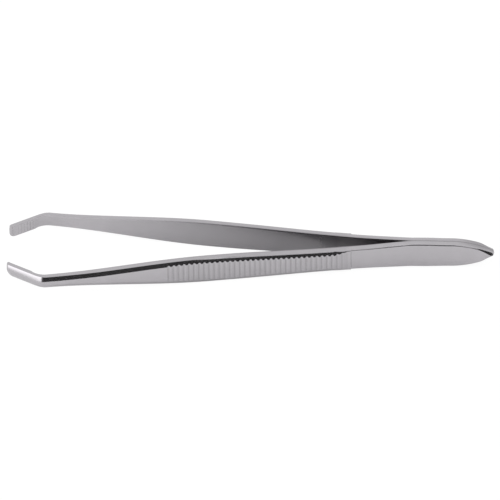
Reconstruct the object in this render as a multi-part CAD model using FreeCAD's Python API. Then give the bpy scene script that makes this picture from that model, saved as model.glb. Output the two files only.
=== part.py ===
"""Surgical tweezers: two sprung steel arms, welded face to face at the butt.

Each arm is a forged strip of stainless steel. From the butt end it is a flat tang
with a pointed arch for its end. It splays away from its twin and steps up at a
shoulder to a thicker blade, which has a ribbed thumb grip. The blade's outer edges
are rounded and then ground to bevels. It narrows to a slim nose, and bends inwards
into a short jaw with a toothed pad.

X runs from the tips to the butt end, Y across the opening, Z up the width of the
arms, which lie on their lower edges. The origin is under the middle of the part.
A place along an arm is given as its distance from the butt end, in millimetres.
"""

import FreeCAD, Part
import math
import os

# Lengths along X, one after another from the butt end to the tips
tang_length = 18.55
flare_length = 17.9
waist_length = 4.0
swell_length = 29.85
grip_length = 2.2
taper_length = 42.15
jaw_reach = 10.35

# Widths of the arm at those stretches
arch_width = 7.15
tang_width = 7.45
waist_width = 6.55
grip_width = 7.55
nose_width = 3.3
grip_stock = 0.02

# The welded tang, and the pointed arch at its end
weld_length = 20.5
tang_thickness = 1.6
tang_edge_radius = 0.45
butt_radius = 1.2
arch_radius = 22.0
point_radius = 0.7

# Side view: how each arm stands away from the middle plane, in degrees and mm
splay_angle = 6.6
splay_bend_radius = 20.0
bow_angle = 1.25
jaw_angle = 30.5
jaw_bend_radius = 4.6

# Blade ahead of the shoulder: its thickness, and its outer edges
shoulder_past_waist = 0.4
shoulder_rise = 0.4
shoulder_slope = 45.0
nose_thickness = 1.8
tip_thickness = 1.5
thinning_length = 17.2
blade_edge_radius = 1.0
grinding_before_grip = 10.0
grinding_length = 26.0
bevel_width = 0.95
bevel_depth = 0.6

# Ribbed thumb grip: round-bottomed grooves across the outer face
rib_count = 36
rib_pitch = 1.307
first_rib_past_shoulder = 1.0
groove_radius = 0.52
groove_depth = 0.18

# Jaw: a raised pad with teeth across its inner face, and the ground tip end
pad_height = 0.2
pad_length = 8.0
pad_ramp = 0.5
tooth_pitch = 0.85
tooth_depth = 0.14
tip_land = 0.9
tip_upper_corner = 0.5
tip_lower_corner = 1.6
tip_break_length = 0.5
tip_break_depth = 0.25

# Distances from the butt end, and the frame, worked out from the sizes above
waist_from = tang_length + flare_length
waist_to = waist_from + waist_length
grip_from = waist_to + swell_length
grip_to = grip_from + grip_length
bend_from = grip_to + taper_length
overall_length = bend_from + jaw_reach
shoulder_from = waist_from + shoulder_past_waist
grinding_from = grip_from - grinding_before_grip
grinding_to = grinding_from + grinding_length
blade_thickness = tang_thickness + shoulder_rise
below_arch = arch_radius - arch_width / 2
arch_run = math.sqrt((arch_radius - point_radius) ** 2 - below_arch**2)
arch_length = point_radius + arch_run
butt_x = overall_length / 2
tip_x = -overall_length / 2
mid_z = grip_width / 2
past = grip_width
up = FreeCAD.Vector(0, 0, 1)
outwards = FreeCAD.Vector(0, 1, 0)


class Station:
    """A place on the inner side of an arm: a point, and the angle it splays at."""

    def __init__(self, x, y, angle):
        self.x, self.y, self.angle = x, y, angle

    def at(self, outward, along=0.0, height=0.0):
        """Point that lies outward from the inner side and along towards the tip."""
        sine, cosine = math.sin(self.angle), math.cos(self.angle)
        return FreeCAD.Vector(
            self.x + outward * sine - along * cosine,
            self.y + outward * cosine + along * sine,
            mid_z + height,
        )

    def turned(self, radius, angle):
        """Station at the end of an arc that turns this one to another angle."""
        reach = math.copysign(radius, angle - self.angle)
        centre = self.at(reach)
        return Station(
            centre.x - reach * math.sin(angle), centre.y - reach * math.cos(angle), angle
        )


butt = Station(butt_x, 0.0, 0.0)
weld = Station(butt_x - weld_length, 0.0, 0.0)
splay = weld.turned(splay_bend_radius, math.radians(splay_angle))
nose_angle = math.radians(splay_angle + bow_angle)
bow_run = splay.x - (butt_x - bend_from)
bow_radius = bow_run / (math.sin(nose_angle) - math.sin(splay.angle))
nose = splay.turned(bow_radius, nose_angle)
jaw = nose.turned(jaw_bend_radius, -math.radians(jaw_angle))
jaw_length = (jaw.x - tip_x) / math.cos(jaw.angle)


def on_blade(from_end):
    """Station on the bowed stretch of an arm, at a distance from the butt end."""
    run = splay.x - (butt_x - from_end)
    angle = math.asin(math.sin(splay.angle) + run / bow_radius)
    return splay.turned(bow_radius, angle)


def graded(from_end, places):
    """Value at a distance from the butt end, easing from each place to the next."""
    value = places[0][1]
    for (start, low), (stop, high) in zip(places, places[1:]):
        share = min(max((from_end - start) / (stop - start), 0.0), 1.0)
        value += (high - low) * (1 - math.cos(math.pi * share)) / 2
    return value


def half_width(from_end):
    """Half the width before the grip, left a little wide, is ground flat."""
    stock = 2 * grip_stock
    places = (
        (arch_length, arch_width),
        (tang_length, tang_width),
        (waist_from, waist_width),
        (waist_to, waist_width),
        (grip_from, grip_width + stock),
        (grip_to, grip_width + stock),
        (bend_from, nose_width),
    )
    return graded(from_end, places) / 2


def blade_depth(from_end):
    """Thickness of the blade, which thins a little from the grip to the nose."""
    places = ((bend_from - thinning_length, blade_thickness), (bend_from, nose_thickness))
    return graded(from_end, places)


def outer_edge(from_end):
    """Width, depth and roundness of the outer edges: rounded, then ground to a bevel."""
    sizes = ((blade_edge_radius, bevel_width), (blade_edge_radius, bevel_depth), (1.0, 0.0))
    return [
        graded(from_end, ((grinding_from, rounded), (grinding_to, ground)))
        for rounded, ground in sizes
    ]


def section(station, half, thick, edge, along=0.0):
    """Closed outline across an arm: flat inside, with each outer edge in two facets.

    The facets meet on the arc of a round edge, and on the line of a ground bevel.
    """
    width, depth, roundness = edge
    middle = 0.5 - roundness * (math.sqrt(0.5) - 0.5)
    upper = (
        (thick - depth, half),
        (thick - depth * middle, half - width * middle),
        (thick, half - width),
    )
    lower = [(outward, -height) for outward, height in reversed(upper)]
    corners = [(0, -half), (0, half), *upper, *lower]
    points = [station.at(outward, along, height) for outward, height in corners]
    return Part.makePolygon(points + points[:1])


def prism(points, half):
    """Solid on a polygon in the side view, reaching half its width each way."""
    outline = Part.Face(Part.makePolygon(list(points) + [points[0]]))
    outline.translate(up * -half)
    return outline.extrude(up * 2 * half)


def bend(start, stop, outward):
    """Arc that runs at a distance outward of a bend, between its two stations."""
    first, last = start.at(outward), stop.at(outward)
    turn = stop.angle - start.angle
    middle_angle = (start.angle + stop.angle) / 2
    bulge = first.distanceToPoint(last) / 2 * math.tan(turn / 4)
    inward = FreeCAD.Vector(-math.sin(middle_angle), -math.cos(middle_angle), 0)
    return Part.Arc(first, (first + last) / 2 + inward * bulge, last).toShape()


def face_of(edges):
    return Part.Face(Part.Wire(Part.__sortEdges__(edges)))


def tang_side_view(shoulder):
    """Flat at the weld, then bent away and bowed as far as the shoulder."""
    edges = [Part.makeLine(butt.at(0), butt.at(tang_thickness)),
             Part.makeLine(shoulder.at(0), shoulder.at(tang_thickness))]
    for outward in (0, tang_thickness):
        edges += [
            Part.makeLine(butt.at(outward), weld.at(outward)),
            bend(weld, splay, outward),
            bend(splay, shoulder, outward),
        ]
    return face_of(edges)


def tang_plan_view():
    """From the waist it flares to the tang, and its sides meet in a pointed arch."""
    waist = waist_width / 2
    arch_x = butt_x - arch_length
    lean = math.atan2(arch_run, below_arch)
    front_x = butt_x - shoulder_from - past
    flare_x = butt_x - waist_from

    def plan(x, height):
        return FreeCAD.Vector(x, 0, mid_z + height)

    def on_arch(angle, side):
        across = arch_radius * math.cos(angle) - below_arch
        return plan(arch_x + arch_radius * math.sin(angle), side * across)

    edges = [
        Part.makeLine(plan(front_x, -waist), plan(front_x, waist)),
        Part.Arc(on_arch(lean, 1), plan(butt_x, 0), on_arch(lean, -1)).toShape(),
    ]
    for side in (1, -1):
        flare = Part.BSplineCurve()
        steps = [(arch_x - flare_x) * share / 8 for share in range(9)]
        flare.interpolate(
            Points=[plan(flare_x + step, side * half_width(waist_from - step)) for step in steps],
            InitialTangent=FreeCAD.Vector(1, 0, 0),
            FinalTangent=FreeCAD.Vector(1, 0, 0),
        )
        edges += [
            Part.makeLine(plan(front_x, side * waist), plan(flare_x, side * waist)),
            flare.toShape(),
            Part.Arc(on_arch(0, side), on_arch(lean / 2, side), on_arch(lean, side)).toShape(),
        ]
    return face_of(edges)


def runs_across(edge):
    """Whether an edge is a straight line up the width of the arm."""
    straight = edge.Curve.TypeId == "Part::GeomLine"
    return straight and abs(edge.Curve.Direction.z) > 0.99


def butt_rounding():
    """Cutter that rounds the butt end off on its outer side, all the way up."""
    deep = tang_thickness - butt_radius
    slant = butt_radius * (1 - math.sqrt(0.5))
    start, stop = butt.at(deep), butt.at(tang_thickness, butt_radius)
    middle = butt.at(tang_thickness - slant, slant)
    around = [
        stop, butt.at(past, butt_radius), butt.at(past, -butt_radius),
        butt.at(deep, -butt_radius), start,
    ]
    edges = [Part.makeLine(*ends) for ends in zip(around, around[1:])]
    cutter = face_of([Part.Arc(start, middle, stop).toShape(), *edges])
    cutter.translate(up * -past)
    return cutter.extrude(up * 2 * past)


def tang(shoulder):
    """Plate between the two outlines, with its outer edges rounded over."""
    side_view = tang_side_view(shoulder)
    side_view.translate(up * -past)
    plan_view = tang_plan_view()
    plan_view.translate(outwards * -past)
    plate = side_view.extrude(up * 2 * past).common(plan_view.extrude(outwards * 3 * past))
    outer_faces = [face for face in plate.Faces if face.normalAt(0, 0).y > 0.9]
    long_edges = [edge for face in outer_faces for edge in face.Edges if not runs_across(edge)]
    return plate.makeFillet(tang_edge_radius, long_edges).cut(butt_rounding())


def blade(shoulder):
    """Loft through sections from the shoulder to the nose, with a sloped step."""
    spans = 20
    step = (bend_from - shoulder_from) / spans
    places = [shoulder_from + step * span for span in range(spans + 1)]
    sections = [
        section(on_blade(place), half_width(place), blade_depth(place), outer_edge(place))
        for place in places
    ]
    run = shoulder_rise / math.tan(math.radians(shoulder_slope))
    clear = tang_thickness + 2 * shoulder_rise
    corner = (
        shoulder.at(tang_thickness), shoulder.at(tang_thickness, -run),
        shoulder.at(clear, -run), shoulder.at(clear, 2 * run),
    )
    flats = Part.makeBox(
        overall_length, 5 * past, grip_width, FreeCAD.Vector(tip_x, -past, 0)
    )
    loft = Part.makeLoft(sections, True, False)
    return loft.cut(prism(corner, past)).common(flats)


def jaw_blank():
    """The nose section carried round the bend and on to the tip, with its pad."""
    half, edge = nose_width / 2, outer_edge(bend_from)
    start = section(nose, half, nose_thickness, edge)
    turn = math.degrees(nose.angle - jaw.angle)
    corner = Part.Face(start).revolve(nose.at(-jaw_bend_radius), up, turn)
    ends = [
        section(jaw, half, nose_thickness, edge),
        section(jaw, half, tip_thickness, edge, along=jaw_length + nose_width),
    ]
    straight = Part.makeLoft(ends, True, True)
    pad_rear, pad_front = jaw_length - pad_length, jaw_length + nose_width
    pad = prism(
        (
            jaw.at(0, pad_rear), jaw.at(-pad_height, pad_rear + pad_ramp),
            jaw.at(-pad_height, pad_front), jaw.at(pad_height, pad_front),
            jaw.at(pad_height, pad_rear),
        ),
        half,
    )
    return corner.fuse([straight, pad])


def tip_outline():
    """Solid that trims the tip square to the length, with its corners rounded."""
    top, bottom = mid_z + nose_width / 2, mid_z - nose_width / 2
    upper, lower = tip_upper_corner, tip_lower_corner
    rear_x = jaw.x + past

    def plan(x, height):
        return FreeCAD.Vector(x, -past, height)

    slant = 1 - math.sqrt(0.5)
    edges = [
        Part.makeLine(plan(rear_x, bottom), plan(rear_x, top)),
        Part.makeLine(plan(rear_x, top), plan(tip_x + upper, top)),
        Part.Arc(
            plan(tip_x + upper, top),
            plan(tip_x + upper * slant, top - upper * slant),
            plan(tip_x, top - upper),
        ).toShape(),
        Part.Arc(
            plan(tip_x + lower, bottom),
            plan(tip_x + lower * slant, bottom + lower * slant),
            plan(tip_x, bottom + lower),
        ).toShape(),
        Part.makeLine(plan(rear_x, bottom), plan(tip_x + lower, bottom)),
    ]
    if top - upper > bottom + lower:
        edges.append(Part.makeLine(plan(tip_x, bottom + lower), plan(tip_x, top - upper)))
    return face_of(edges).extrude(outwards * 5 * past)


def jaw_teeth():
    """Notches across the pad, from the plain land at the tip to its ramp."""
    count = int((pad_length - pad_ramp - tip_land) / tooth_pitch) + 1
    places = [jaw_length - tip_land - tooth_pitch * number for number in range(count)]
    above, reach = -pad_height - tooth_depth, 2 * tooth_depth
    return [
        prism(
            (
                jaw.at(tooth_depth - pad_height, place),
                jaw.at(above, place - reach), jaw.at(above, place + reach),
            ),
            past,
        )
        for place in places
    ]


def tip_edge():
    """Cutter that takes the sharp inner edge off the end of the tip."""
    at_end = jaw_length - pad_height * math.tan(jaw.angle)
    corner = jaw.at(-pad_height, at_end)
    points = (
        jaw.at(-pad_height, at_end - tip_break_length),
        corner + outwards * tip_break_depth,
        jaw.at(-pad_height - tip_break_length, at_end),
    )
    return prism(points, past)


def grip_grooves():
    """One round cutter for each groove, level across the outer face."""
    cutters = []
    for number in range(rib_count):
        place = shoulder_from + first_rib_past_shoulder + number * rib_pitch
        station = on_blade(place)
        axis = station.at(blade_depth(place) + groove_radius - groove_depth)
        cutters.append(Part.makeCylinder(groove_radius, 2 * past, axis - up * past, up))
    return cutters


def arm():
    shoulder = on_blade(shoulder_from)
    front = jaw_blank().common(tip_outline()).cut(jaw_teeth() + [tip_edge()])
    ribbed = blade(shoulder).cut(grip_grooves())
    whole = tang(shoulder).fuse([ribbed, front]).removeSplitter()
    return whole.Solids[0]


def check(name, shape):
    box = shape.BoundBox
    print(name, shape.ShapeType, shape.isValid(), round(shape.Volume, 2), len(shape.Faces), box)


right_arm = arm()
left_arm = right_arm.mirror(FreeCAD.Vector(0, 0, 0), outwards)
os.makedirs("parts", exist_ok=True)
for name, shape in (("left_arm", left_arm), ("right_arm", right_arm)):
    check(name, shape)
    shape.exportStep(f"parts/{name}.step")
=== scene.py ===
import math

import bmesh
import bpy
import numpy as np
from mathutils import Matrix, Vector


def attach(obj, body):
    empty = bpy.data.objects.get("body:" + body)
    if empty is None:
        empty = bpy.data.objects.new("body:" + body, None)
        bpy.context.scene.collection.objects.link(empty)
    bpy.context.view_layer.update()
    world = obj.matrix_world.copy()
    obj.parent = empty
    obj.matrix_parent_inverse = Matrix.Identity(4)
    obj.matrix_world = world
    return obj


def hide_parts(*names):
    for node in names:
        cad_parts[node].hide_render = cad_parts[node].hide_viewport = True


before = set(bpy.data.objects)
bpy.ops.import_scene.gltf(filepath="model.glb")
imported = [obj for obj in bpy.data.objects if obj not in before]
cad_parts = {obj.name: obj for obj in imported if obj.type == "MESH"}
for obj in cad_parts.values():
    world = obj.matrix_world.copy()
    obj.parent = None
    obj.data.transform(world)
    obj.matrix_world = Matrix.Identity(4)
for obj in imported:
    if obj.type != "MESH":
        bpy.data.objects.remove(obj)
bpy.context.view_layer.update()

# Line of an arm
# A strip of spring steel, forged and then bent: straight where it is welded to its twin,
# splayed away from it, bowed a little, and turned inwards near the tip for the jaw.
# Sizes are in millimetres, and a run is a distance along the arm's inner side.
TO_METRES = 0.001
tang_length = 18.55
flare_length = 17.9
waist_length = 4.0
swell_length = 29.85
grip_length = 2.2
taper_length = 42.15
jaw_reach = 10.35
weld_length = 20.5
splay_angle = math.radians(6.6)
splay_bend_radius = 20.0
bow_angle = math.radians(1.25)
jaw_angle = math.radians(30.5)
jaw_bend_radius = 4.6

waist_from = tang_length + flare_length
waist_to = waist_from + waist_length
grip_from = waist_to + swell_length
grip_to = grip_from + grip_length
bend_from = grip_to + taper_length
overall_length = bend_from + jaw_reach
butt_x = overall_length / 2

nose_angle = splay_angle + bow_angle
splay_arc = splay_bend_radius * splay_angle
bow_run = bend_from - weld_length - splay_bend_radius * math.sin(splay_angle)
bow_arc = bow_run * (nose_angle - splay_angle) / (math.sin(nose_angle) - math.sin(splay_angle))
jaw_arc = jaw_bend_radius * (nose_angle + jaw_angle)
bend_reach = jaw_bend_radius * (math.sin(nose_angle) + math.sin(jaw_angle))
jaw_length = (jaw_reach - bend_reach) / math.cos(jaw_angle)
stops = np.cumsum([0, weld_length, splay_arc, bow_arc, jaw_arc, jaw_length])
stop_angles = [0, 0, splay_angle, nose_angle, -jaw_angle, -jaw_angle]
bend_start, jaw_start, total_run = stops[3:]


def running_sum(rate, run):
    """Area under a rate up to each run: half sums of neighbours, times the step, added up."""
    steps = (rate[1:] + rate[:-1]) / 2 * np.diff(run)
    return np.concatenate([[0.0], np.cumsum(steps)])


fine_places = 40001
fine_run = np.linspace(0, total_run, fine_places)
fine_angle = np.interp(fine_run, stops, stop_angles)
fine_back = running_sum(np.cos(fine_angle), fine_run)
fine_out = running_sum(np.sin(fine_angle), fine_run)


def run_at(from_end):
    """Run along the inner side at a distance from the butt end."""
    return np.interp(from_end, fine_back, fine_run)


# Outline of an arm
# The strip is sheared to this outline: a pointed arch at the butt end, a waist, a wide
# ribbed grip and a slim nose. The tip is then ground square, with its corners rounded.
arch_width = 7.15
tang_width = 7.45
waist_width = 6.55
grip_width = 7.55
nose_width = 3.3
arch_radius = 22.0
point_radius = 0.7
tip_upper_corner = 0.5
tip_lower_corner = 1.6
mid_z = grip_width / 2
below_arch = arch_radius - arch_width / 2
arch_run = math.sqrt((arch_radius - point_radius) ** 2 - below_arch**2)
arch_length = point_radius + arch_run


def eased(value, places):
    """Steps from one size to the next, each along half a cosine wave between two places."""
    total = np.full(np.shape(value), float(places[0][1]))
    for (start, low), (stop, high) in zip(places, places[1:]):
        share = np.clip((value - start) / (stop - start), 0, 1)
        total += (high - low) * (1 - np.cos(np.pi * share)) / 2
    return total


def hollow(distance, width):
    """Rise of a quarter circle of one unit: one at the edge, none at its width and beyond."""
    left = np.clip(1 - distance / width, 0, 1)
    return 1 - np.sqrt(1 - left**2)


def arch_height(from_end):
    """Half width of the butt end's arch, two arcs that meet in a small round point.

    On an arc it is the height of a circle of the arch radius over the chord that leaves
    half the arch's width, and on the point the height of the small circle.
    """
    joint = point_radius * (1 - arch_run / (arch_radius - point_radius))
    behind = np.clip(arch_length - from_end, 0, None)
    arc = np.sqrt(arch_radius**2 - behind**2) - below_arch
    point = np.sqrt(np.clip(point_radius**2 - (point_radius - from_end) ** 2, 0, None))
    return np.where(from_end < joint, point, arc)


def half_width(from_end):
    """Half the width of the strip: the arch, then eased from each stretch to the next."""
    places = (
        (arch_length, arch_width), (tang_length, tang_width),
        (waist_from, waist_width), (waist_to, waist_width),
        (grip_from, grip_width), (grip_to, grip_width), (bend_from, nose_width),
    )
    eased_half = eased(from_end, places) / 2
    return np.where(from_end < arch_length, arch_height(from_end), eased_half)


def corner_loss(from_end, radius):
    """What a round corner of the tip takes off the half width."""
    return radius * hollow(overall_length - from_end, radius)


# Thickness of an arm
# The blade steps up from the tang at a small filed shoulder and swells a little more
# along the first ribs. It is ground a little thinner along the grip and again before the
# nose, and the jaw thins to its tip.
tang_thickness = 1.6
butt_radius = 0.5
shoulder_past_waist = 0.4
shoulder_rise = 0.18
blade_swell = 0.37
swell_run = 4.5
ground_thinner = 0.15
nose_thickness = 1.8
tip_thickness = 1.5
thinning_length = 17.2
grinding_before_grip = 19.0
grinding_length = 32.0
shoulder_from = waist_from + shoulder_past_waist
shoulder_to = shoulder_from + shoulder_rise
swell_to = shoulder_from + swell_run
grinding_from = grip_from - grinding_before_grip
grinding_to = grinding_from + grinding_length


def thickness(from_end, run):
    """Round butt end, tang, shoulder at 45 degrees, swelling blade, nose, tapering jaw."""
    rounding = butt_radius * hollow(from_end, butt_radius)
    step = np.clip((from_end - shoulder_from) / shoulder_rise, 0, 1)
    places = (
        (shoulder_from, 0.0), (swell_to, blade_swell),
        (grinding_from, blade_swell), (grinding_to, blade_swell - ground_thinner),
        (bend_from - thinning_length, blade_swell - ground_thinner),
        (bend_from, nose_thickness - tang_thickness - shoulder_rise),
    )
    fall = (tip_thickness - nose_thickness) / (jaw_length + nose_width)
    into_jaw = np.clip(run - jaw_start, 0, None)
    blade = shoulder_rise * step + eased(from_end, places)
    return tang_thickness - rounding + blade + fall * into_jaw


# Outer edges of an arm
# The tang's edges are tumbled round. Beside the ribs they are filed to a steep crest and
# a flat, along the taper ground to a bevel, and on the jaw polished soft. Each kind of
# edge blends into the next.
tang_edge_radius = 0.55
point_edge_radius = 1.3
point_edge_from = 1.0
point_edge_to = 4.0
filed_width = 1.25
filed_depth = 0.82
crest_width = 0.164
crest_fall = 1.49
flat_fall = 0.53
flat_start_width = 0.22
bevel_width = 1.1
bevel_depth = 0.6
jaw_edge_width = 1.6
jaw_edge_depth = 0.82
jaw_filed_share = 0.3
tip_edge_share = 0.65
filed_softness = 0.03
bevel_softness = 0.1
jaw_softness = 0.45
inner_edge_radius = 0.02


def along_blade(from_end, run, filed, ground, on_jaw):
    """A size of the blade's edges, eased from the filed one to the bevel's and the jaw's."""
    into_jaw = eased(run, ((bend_start, 0.0), (jaw_start, on_jaw - ground)))
    return eased(from_end, ((grinding_from, filed), (grinding_to, ground))) + into_jaw


# Ribs of the thumb grip
# Round-bottomed grooves are milled level across the outer face, so the filed edges cut
# their ends off in scallops. The lands between them are a little softened by tumbling.
rib_count = 36
rib_pitch = 1.307
first_rib_past_shoulder = 1.0
groove_radius = 0.52
groove_depth = 0.18
rib_softening = 0.05
first_rib = shoulder_from + first_rib_past_shoulder
ribs_to = first_rib + rib_count * rib_pitch


def groove_floor(from_end, thick):
    """Outward height of the nearest groove: an arc of its radius, sunk by its depth.

    Next to the shoulder the cutter comes in less deep, in proportion to the distance.
    """
    number = np.clip(np.round((from_end - first_rib) / rib_pitch), 0, rib_count - 1)
    off = from_end - first_rib - number * rib_pitch
    arc = groove_radius - np.sqrt(np.clip(groove_radius**2 - off**2, 0, None))
    reached = np.clip((from_end - off - shoulder_from) / swell_run, 0, 1)
    floor = thick - groove_depth * reached + arc
    return np.where(np.abs(off) < groove_radius, floor, thick + groove_radius)


def soft_min(first, second, blend):
    """The lower of two values, with the corner between them rounded over a blend height."""
    share = np.clip(0.5 + (second - first) / (2 * blend), 0, 1)
    return second * (1 - share) + first * share - blend * share * (1 - share)


# Pad and teeth of the jaw
# The inner face of the jaw stands proud in a pad with notches filed across it, a plain
# land at the very tip, and the sharp inner edge there taken off.
pad_height = 0.2
pad_length = 8.0
pad_ramp = 0.5
tooth_pitch = 0.85
tooth_depth = 0.07
tip_land = 0.9
tip_break_length = 0.5
tip_break_depth = 0.25


def pad_surface(share):
    """Outward height of the inner face at a share of the jaw: pad, notches, broken edge."""
    end = jaw_length + pad_height * math.tan(jaw_angle)
    along = share * end
    ramp = np.clip((along - (jaw_length - pad_length)) / pad_ramp, 0, 1)
    last = int((pad_length - pad_ramp - tip_land) / tooth_pitch)
    number = np.clip(np.round((jaw_length - tip_land - along) / tooth_pitch), 0, last)
    off = np.abs(jaw_length - tip_land - along - number * tooth_pitch)
    notch = np.clip(tooth_depth - off, 0, None)
    broken = tip_break_depth * math.cos(jaw_angle)
    break_share = np.clip(1 - (end - along) / tip_break_length, 0, 1)
    return -pad_height * ramp + notch + broken * break_share


# Skin of an arm
# Each arm is one closed skin of forged steel, from the point of the butt to the ground
# tip: rings along its line, and in each ring the columns of its inner side, its upper
# edge, its outer side and its lower edge.
point_reach = 3.0
point_rings = 36
tip_rings = 14
tang_ring_step = 0.5
shoulder_ring_step = 0.1
rings_per_rib = 16
taper_ring_step = 0.4
bend_ring_step = 0.1
rings_per_tooth = 14
outer_edge_steps = 14
outer_face_steps = 14
inner_edge_steps = 3
inner_face_steps = 6
wall_steps = 3
least_lean = 0.05
ring_digits = 5


def ring_runs():
    """Runs of the rings: close together at the point, the ribs, the bend and the teeth."""
    stretches = (
        (run_at(point_reach), run_at(shoulder_from), tang_ring_step),
        (run_at(shoulder_from), run_at(shoulder_to), shoulder_ring_step),
        (run_at(shoulder_to), run_at(ribs_to), rib_pitch / rings_per_rib),
        (run_at(ribs_to), bend_start, taper_ring_step),
        (bend_start, jaw_start, bend_ring_step),
        (jaw_start, total_run, tooth_pitch / rings_per_tooth),
    )
    runs = [run_at(point_reach) * np.linspace(0, 1, point_rings) ** 2]
    for start, stop, step in stretches:
        runs.append(np.linspace(start, stop, 2 + int((stop - start) / step)))
    runs.append(total_run - tip_lower_corner * np.linspace(0, 1, tip_rings) ** 2)
    return np.unique(np.round(np.concatenate(runs), ring_digits))


run = ring_runs()
angle = np.interp(run, stops, stop_angles)
back = np.interp(run, fine_run, fine_back)
out = np.interp(run, fine_run, fine_out)
thick = thickness(back, run)
wide = half_width(back)
upper = wide - corner_loss(back, tip_upper_corner)
lower = wide - corner_loss(back, tip_lower_corner)
lean = np.cos(np.arctan(np.gradient(wide, run)))
jaw_share = np.clip((run - jaw_start) / jaw_length, 0, 1)
up_step = np.clip((back - shoulder_from) / shoulder_rise, 0, 1)

tang_edge = eased(
    back, ((point_edge_from, point_edge_radius), (point_edge_to, tang_edge_radius))
)
blade_edge = along_blade(back, run, filed_width, bevel_width, jaw_edge_width)
blade_fall = along_blade(back, run, filed_depth, bevel_depth, jaw_edge_depth)
filed_share = along_blade(back, run, 1.0, 0.0, jaw_filed_share)
softness = along_blade(back, run, filed_softness, bevel_softness, jaw_softness)
flat_width = np.interp(back, [shoulder_to, swell_to], [flat_start_width, filed_width])
toward_tip = 1 - (1 - tip_edge_share) * jaw_share
edge_width = tang_edge + up_step * (blade_edge - tang_edge)


def softened(height):
    """The part of a height above none, with the corner there rounded: half the sum of
    the height and the root of its square plus the softness squared."""
    return (height + np.sqrt(height**2 + softness[:, None] ** 2)) / 2


def edge_drop(distance):
    """Height lost at a distance from the outline, on the outer side of an arm.

    On the tang it is a quarter round. On the blade it is a share of the filed edge, the
    larger of a steep crest and a flat that runs out at the shoulder, and for the rest
    the bevel, a slope with a soft foot, which narrows towards the tip.
    """
    tang_round = tang_edge[:, None] * hollow(distance, tang_edge[:, None])
    flat = flat_fall * (flat_width[:, None] - distance)
    crest = flat + (crest_fall - flat_fall) * (crest_width - distance)
    filed = softened(flat + softened(crest - flat))
    narrowing = toward_tip[:, None]
    reach = blade_edge[:, None] * narrowing
    bevel = blade_fall[:, None] * narrowing * softened(1 - distance / reach)
    share = filed_share[:, None]
    on_blade = share * filed + (1 - share) * bevel
    return tang_round + up_step[:, None] * (on_blade - tang_round)


def sheet(width, edge_steps, face_steps):
    """Heights across one side of the strip, and the distance of each from the outline.

    Columns run from the upper edge to the lower one. In an edge zone their distance
    from the outline is the zone's width times one less the cosine of an even turn, and
    between the zones they are spread along half a cosine wave, closest beside the zones.
    """
    zone = 1 - np.cos(np.linspace(0, np.pi / 2, edge_steps + 1))
    across = width / np.maximum(lean, least_lean)
    top = upper[:, None] - np.minimum(across, upper)[:, None] * zone
    bottom = -lower[:, None] + np.minimum(across, lower)[:, None] * zone[::-1]
    middle = np.linspace(0, 1, face_steps + 1)[1:-1]
    between = top[:, -1:] + (bottom[:, :1] - top[:, -1:]) * (1 - np.cos(np.pi * middle)) / 2
    height = np.concatenate([top, between, bottom], axis=1)
    gap = np.minimum(upper[:, None] - height, height + lower[:, None])
    return height, gap * lean[:, None]


def round_ring(inner, upper_wall, outer, lower_wall):
    """One value for each column of the rings, from the values of their four sides."""
    return np.concatenate([inner[:, ::-1], upper_wall, outer, lower_wall], axis=1)


inner_edge = np.full(run.shape, inner_edge_radius)
inner_height, inner_gap = sheet(inner_edge, inner_edge_steps, inner_face_steps)
inner_round = inner_edge_radius * hollow(inner_gap, inner_edge_radius)
inner_out = pad_surface(jaw_share)[:, None] + inner_round
outer_height, outer_gap = sheet(edge_width, outer_edge_steps, outer_face_steps)
uncut_out = thick[:, None] - edge_drop(outer_gap)
outer_out = soft_min(uncut_out, groove_floor(back, thick)[:, None], rib_softening)

down_wall = np.linspace(0, 1, wall_steps + 2)[1:-1]
outward = round_ring(
    inner_out,
    inner_out[:, :1] + (outer_out[:, :1] - inner_out[:, :1]) * down_wall,
    outer_out,
    outer_out[:, -1:] + (inner_out[:, -1:] - outer_out[:, -1:]) * down_wall,
)
height = round_ring(
    inner_height,
    np.repeat(upper[:, None], wall_steps, axis=1),
    outer_height,
    np.repeat(-lower[:, None], wall_steps, axis=1),
)
sheared = jaw_share[:, None] * outward * math.tan(-jaw_angle)
sine, cosine = np.sin(angle)[:, None], np.cos(angle)[:, None]
ring_points = np.stack(
    [
        butt_x - back[:, None] + outward * sine - sheared * cosine,
        out[:, None] + outward * cosine + sheared * sine,
        mid_z + height,
    ],
    axis=2,
)

# Marks on the skin
# The skin carries marks for the finish: the grain of the strip, as the run and the way
# round it, how deep a groove is cut, how steep its walls are, plus on the wall nearer the
# butt, and which faces lie inside. The finish uses them for painted shade in the grooves
# and on the inner faces, and for painted light on the groove walls nearer the butt.
least_cut = 0.02

rows, columns = outward.shape
spacing = np.linalg.norm(np.diff(ring_points, axis=1), axis=2)
around = np.concatenate([np.zeros((rows, 1)), np.cumsum(spacing, axis=1)], axis=1)
along = np.repeat(run[:, None], columns, axis=1)
grain = np.stack([along, around, np.zeros(around.shape)], axis=2)

slope = -np.gradient(outer_out, axis=0) / np.gradient(back)[:, None]
cut = (uncut_out - outer_out) / groove_depth
no_inner, no_wall = np.zeros(inner_out.shape), np.zeros((rows, wall_steps))
marks = {
    "groove": round_ring(no_inner, no_wall, cut, no_wall),
    "wall": round_ring(no_inner, no_wall, np.clip(slope, -1, 1) * (cut > least_cut), no_wall),
    "inside": round_ring(no_inner + 1, no_wall, cut * 0, no_wall),
}
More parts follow.
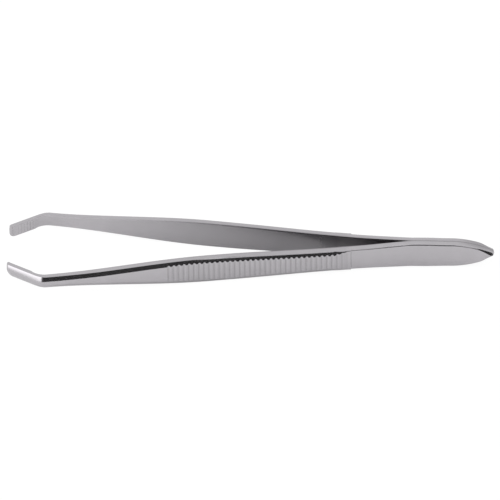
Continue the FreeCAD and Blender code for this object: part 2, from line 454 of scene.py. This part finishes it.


# Finish of the arms
# Stainless steel with a satin sheen, drawn lengthwise and faintly blotched. The grooves are
# rougher and darker with painted shade, their walls nearer the butt, which face the lamp,
# carry a painted highlight, and the ribbed stretch is a little darker all over. The inner
# faces carry painted shade that deepens towards the weld, whose heat has left a dull patch
# with a darker rim on them, and that patch is painted lighter to ease the shade there.
# Places are runs, and shades are shares of the tone.
tone = 0.525
green_share, blue_share = 0.967, 1.012
streak_stretch = (0.3, 9.0, 1.0)
streak_scale, streak_detail = 1.0, 3.0
blotch_scale, blotch_detail = 0.35, 2.0
streak_tone, blotch_tone = 0.05, 0.04
painted_groove_shade, painted_wall_light, rib_shade = 0.04, 0.22, 0.05
ribs_fade_in, ribs_fade_out = (37.5, 38.5), (83.5, 85.0)
face_lift, inner_painted_shade = 1.05, 0.5
shade_full, shade_gone = 55.0, 108.0
heat_edge, heat_rim = (43.2, 45.0), (38.5, 41.5)
heat_smudge, rim_shade, painted_patch_light = 5.0, 0.25, 0.18
satin = 0.16
streak_rough, groove_rough, inner_rough, heat_rough = 0.1, 0.12, 0.03, 0.12
scratch_strength, scratch_height = 0.25, 0.000004


class Socket:
    """A shader value: the operators on it add the Math nodes that work it out."""

    def __init__(self, nodes, socket):
        self.nodes, self.socket = nodes, socket

    def math(self, operation, *values):
        return self.nodes.add("ShaderNodeMath", {"operation": operation}, *values)

    def __add__(self, other):
        return self.math("ADD", self, other)

    def __sub__(self, other):
        return self.math("SUBTRACT", self, other)

    def __rsub__(self, other):
        return self.math("SUBTRACT", other, self)

    def __mul__(self, other):
        return self.math("MULTIPLY", self, other)

    __radd__ = __add__
    __rmul__ = __mul__


class Nodes:
    """The nodes of a material or of the world."""

    def __init__(self, owner):
        owner.use_nodes = True
        self.tree = owner.node_tree

    def put(self, target, value):
        """Links a shader value to a socket, or sets the socket to a plain value."""
        if isinstance(value, Socket):
            self.tree.links.new(value.socket, target)
        else:
            target.default_value = value

    def add(self, kind, settings=None, *values, output=0, **named):
        """Adds a node: first its settings, then the values or links of its sockets."""
        made = self.tree.nodes.new(kind)
        for key, value in (settings or {}).items():
            setattr(made, key, value)
        for number, value in enumerate(values):
            self.put(made.inputs[number], value)
        for key, value in named.items():
            self.put(made.inputs[key], value)
        return Socket(self, made.outputs[output]) if made.outputs else None

    def attribute(self, name, output="Fac"):
        """Mark that the skin carries under a name."""
        return self.add("ShaderNodeAttribute", {"attribute_name": name}, output=output)

    def noise(self, place, scale, detail):
        """Cloudy noise, from minus a half to a half."""
        return self.add("ShaderNodeTexNoise", None, place, Scale=scale, Detail=detail) - 0.5


def eased_share(value, start, stop):
    """None at the start, one at the stop, and a smooth step between."""
    smooth = {"interpolation_type": "SMOOTHSTEP"}
    return value.nodes.add("ShaderNodeMapRange", smooth, value, start, stop)


def steel():
    """Metal whose tone, roughness and fine scratches follow the marks on the skin. Its tone
    carries painted shade in the grooves and on the inner faces, and painted light on the
    groove walls nearer the butt.
    """
    material = bpy.data.materials.new("steel")
    nodes = Nodes(material)
    shader = nodes.tree.nodes["Principled BSDF"]
    nodes.put(shader.inputs["Metallic"], 1.0)

    grain = nodes.attribute("grain", "Vector")
    groove = nodes.attribute("groove")
    wall = nodes.attribute("wall")
    inside = nodes.attribute("inside")
    multiply = {"operation": "MULTIPLY"}
    drawn = nodes.add("ShaderNodeVectorMath", multiply, grain, streak_stretch)
    streaks = nodes.noise(drawn, streak_scale, streak_detail)
    blotches = nodes.noise(grain, blotch_scale, blotch_detail)
    along = nodes.add("ShaderNodeSeparateXYZ", None, grain, output="X")

    smudged = along + blotches * heat_smudge
    heated = inside * (1 - eased_share(smudged, *heat_edge))
    rim = heated * eased_share(smudged, *heat_rim)
    # Painted shade on the inner faces, deepest towards the weld, where the gap between the
    # arms narrows.
    painted_gap_shade = nodes.add(
        "ShaderNodeMapRange", None, along, shade_full, shade_gone, inner_painted_shade, 0.0
    )
    ribbed = eased_share(along, *ribs_fade_in) * (1 - eased_share(along, *ribs_fade_out))
    ribbed = (1 - inside) * ribbed

    value = tone + streaks * streak_tone + blotches * blotch_tone
    # Painted shade darkens the grooves, painted light brightens their walls nearer the butt,
    # which face the lamp, and the ribbed stretch is a little darker all over.
    value = value * (1 - groove * painted_groove_shade + wall * painted_wall_light) * (1 - ribbed * rib_shade)
    value = value * (face_lift - inside * painted_gap_shade)
    # The heat tint's rim is darker, and the patch inside it is painted lighter, which eases
    # the painted shade and the dark mutual reflections there.
    value = value * (1 - rim * rim_shade) * (1 + heated * painted_patch_light)
    colour = nodes.add(
        "ShaderNodeCombineColor", None, value, value * green_share, value * blue_share
    )
    roughness = satin + streaks * streak_rough + groove * groove_rough
    roughness = roughness + inside * inner_rough + heated * heat_rough
    scratches = nodes.add(
        "ShaderNodeBump", None, Strength=scratch_strength, Distance=scratch_height,
        Height=streaks,
    )
    nodes.put(shader.inputs["Base Color"], colour)
    nodes.put(shader.inputs["Roughness"], roughness)
    nodes.put(shader.inputs["Normal"], scratches)
    return material


# The two arms
# Mirror images of each other, made from one pattern, with their tangs face to face. A
# resistance weld between the tangs joins them, and no rivet or pin is needed.
merge_distance = 1e-7
crease_angle = math.radians(25)


def arm_mesh(name, side):
    """Closed skin of one arm on the grid of rings, mirrored to its side of the middle."""
    points = ring_points * (1, side, 1) * TO_METRES
    corner = np.arange(rows * columns).reshape(rows, columns)
    following = np.roll(corner, -1, axis=1)
    quads = np.stack([corner[:-1], following[:-1], following[1:], corner[1:]], axis=2)
    quads = quads.reshape(-1, 4)[:, ::-side]
    tip = corner[-1, ::side]
    mesh = bpy.data.meshes.new(name)
    mesh.from_pydata(points.reshape(-1, 3).tolist(), [], quads.tolist() + [tip.tolist()])
    carried = mesh.attributes.new("grain", "FLOAT_VECTOR", "POINT")
    carried.data.foreach_set("vector", grain.ravel())
    for mark, values in marks.items():
        carried = mesh.attributes.new(mark, "FLOAT", "POINT")
        carried.data.foreach_set("value", values.ravel())
    work = bmesh.new()
    work.from_mesh(mesh)
    bmesh.ops.remove_doubles(work, verts=work.verts, dist=merge_distance)
    bmesh.ops.recalc_face_normals(work, faces=work.faces)
    work.to_mesh(mesh)
    work.free()
    mesh.shade_smooth()
    mesh.set_sharp_from_angle(angle=crease_angle)
    return mesh


finish = steel()
for name, side, solid in (
    ("near_arm_skin", -1, "left_arm"), ("far_arm_skin", 1, "right_arm")
):
    skin = bpy.data.objects.new(name, arm_mesh(name, side))
    bpy.context.scene.collection.objects.link(skin)
    skin.data.materials.append(finish)
    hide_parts(solid)
    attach(skin, "root")

# Floor
# A wide sheet of white paper that the tweezers lie on. To the camera it is as white as
# the backdrop, and so it is a little in mirrors. To all other light it is plain matt
# paper, so it keeps the shadow.
half_floor = 1.5
paper_white = 0.9
paper_glow = 1.05
seen_share = 0.9
mirrored_share = 0.1

floor_mesh = bpy.data.meshes.new("floor")
sides = ((-1, -1), (1, -1), (1, 1), (-1, 1))
floor_corners = [(x * half_floor, y * half_floor, 0) for x, y in sides]
floor_mesh.from_pydata(floor_corners, [], [(0, 1, 2, 3)])
floor = bpy.data.objects.new("floor", floor_mesh)
bpy.context.scene.collection.objects.link(floor)

paper = bpy.data.materials.new("floor_paper")
nodes = Nodes(paper)
nodes.tree.nodes.clear()
seen = nodes.add("ShaderNodeLightPath", output="Is Camera Ray")
mirrored = nodes.add("ShaderNodeLightPath", output="Is Glossy Ray")
matt = nodes.add("ShaderNodeBsdfDiffuse", None, (paper_white, paper_white, paper_white, 1))
glow = nodes.add("ShaderNodeEmission", None, (1, 1, 1, 1), paper_glow)
share = seen * seen_share + mirrored * mirrored_share
mixed = nodes.add("ShaderNodeMixShader", None, share, matt, glow)
nodes.add("ShaderNodeOutputMaterial", None, mixed)
floor_mesh.materials.append(paper)

# Light
# A plain pale tent all round. In it hang a dark card in front and to the right, with a
# slit of window in it, a soft lamp at the front left, and a grey card behind the butt.
# The cards draw the dark lines on the bevels, and the lamp the bright band on the jaw.
tent_strength = 0.81
card_strength = 0.038
grey_shade = 0.22
window_strength = 1.0
lamp_strength = 1.1

world = bpy.data.worlds.new("studio")
bpy.context.scene.world = world
nodes = Nodes(world)
nodes.tree.nodes.clear()
direction = nodes.add("ShaderNodeTexCoord", output="Generated")
to_right, to_back, to_top = [
    nodes.add("ShaderNodeSeparateXYZ", None, direction, output=axis) for axis in "XYZ"
]
turn = to_right.math("ARCTAN2", to_right, 0 - to_back)


def band(value, start, stop, soft):
    """One between two limits, falling to none over a soft margin outside each."""
    rise = eased_share(value, start - soft, start)
    return rise * (1 - eased_share(value, stop, stop + soft))


def panel(turns, turn_soft, heights, height_soft):
    """Share of a panel of the tent: one between two turns, in degrees from the front to
    the right, and between two heights, the sines of the elevation, with soft edges."""
    start, stop = (math.radians(limit) for limit in turns)
    wide = band(turn, start, stop, math.radians(turn_soft))
    return wide * band(to_top, *heights, height_soft)


dark_card = panel(turns=(-20, 80), turn_soft=6, heights=(-0.2, 0.74), height_soft=0.06)
window = panel(turns=(10, 31), turn_soft=4, heights=(0.47, 0.7), height_soft=0.05)
lamp = panel(turns=(-110, -26), turn_soft=6, heights=(0.32, 0.85), height_soft=0.42)
grey_card = panel(turns=(125, 165), turn_soft=8, heights=(-0.3, 0.55), height_soft=0.1)
strength = tent_strength * (1 - dark_card - grey_card * grey_shade)
strength = strength + card_strength * dark_card
strength = strength + window * window_strength + lamp * lamp_strength
seen = nodes.add("ShaderNodeLightPath", output="Is Camera Ray")
strength = strength * (1 - seen) + seen
sky = nodes.add("ShaderNodeBackground", None, (1, 1, 1, 1), strength)
nodes.add("ShaderNodeOutputWorld", None, sky)

# Camera
# It looks down at the tweezers from the side of the left arm, from so far away that the
# view has next to no perspective. The middle of the part falls on its column and row of
# the photograph, and a millimetre covers as many pixels as it does there.
camera_elevation = math.radians(40.0)
camera_azimuth = math.radians(1.75)
camera_roll = math.radians(-0.82)
camera_distance = 2000.0
image_size = 500
pixels_per_mm = 3.889
centre_column, centre_row = 251.05, 250.88
sensor_width = 36.0
clip_end = 10.0

right = Vector((math.cos(camera_azimuth), math.sin(camera_azimuth), 0))
level = Vector((-math.sin(camera_azimuth), math.cos(camera_azimuth), 0))
up = Vector((0, 0, 1)) * math.cos(camera_elevation) + level * math.sin(camera_elevation)
forward = right.cross(up) * -1
rolled_right = right * math.cos(camera_roll) + up * math.sin(camera_roll)
rolled_up = up * math.cos(camera_roll) - right * math.sin(camera_roll)
aim = Vector((0, 0, mid_z))
aim -= rolled_right * (centre_column - image_size / 2) / pixels_per_mm
aim += rolled_up * (centre_row - image_size / 2) / pixels_per_mm
place = (aim - forward * camera_distance) * TO_METRES

camera_data = bpy.data.cameras.new("camera")
camera_data.sensor_width = sensor_width
camera_data.lens = sensor_width * pixels_per_mm * camera_distance / image_size
camera_data.clip_end = clip_end
camera = bpy.data.objects.new("camera", camera_data)
basis = Matrix((rolled_right, rolled_up, -forward)).transposed().to_4x4()
camera.matrix_world = Matrix.Translation(place) @ basis
bpy.context.scene.collection.objects.link(camera)
bpy.context.scene.camera = camera
bpy.context.scene.view_settings.view_transform = "Standard"
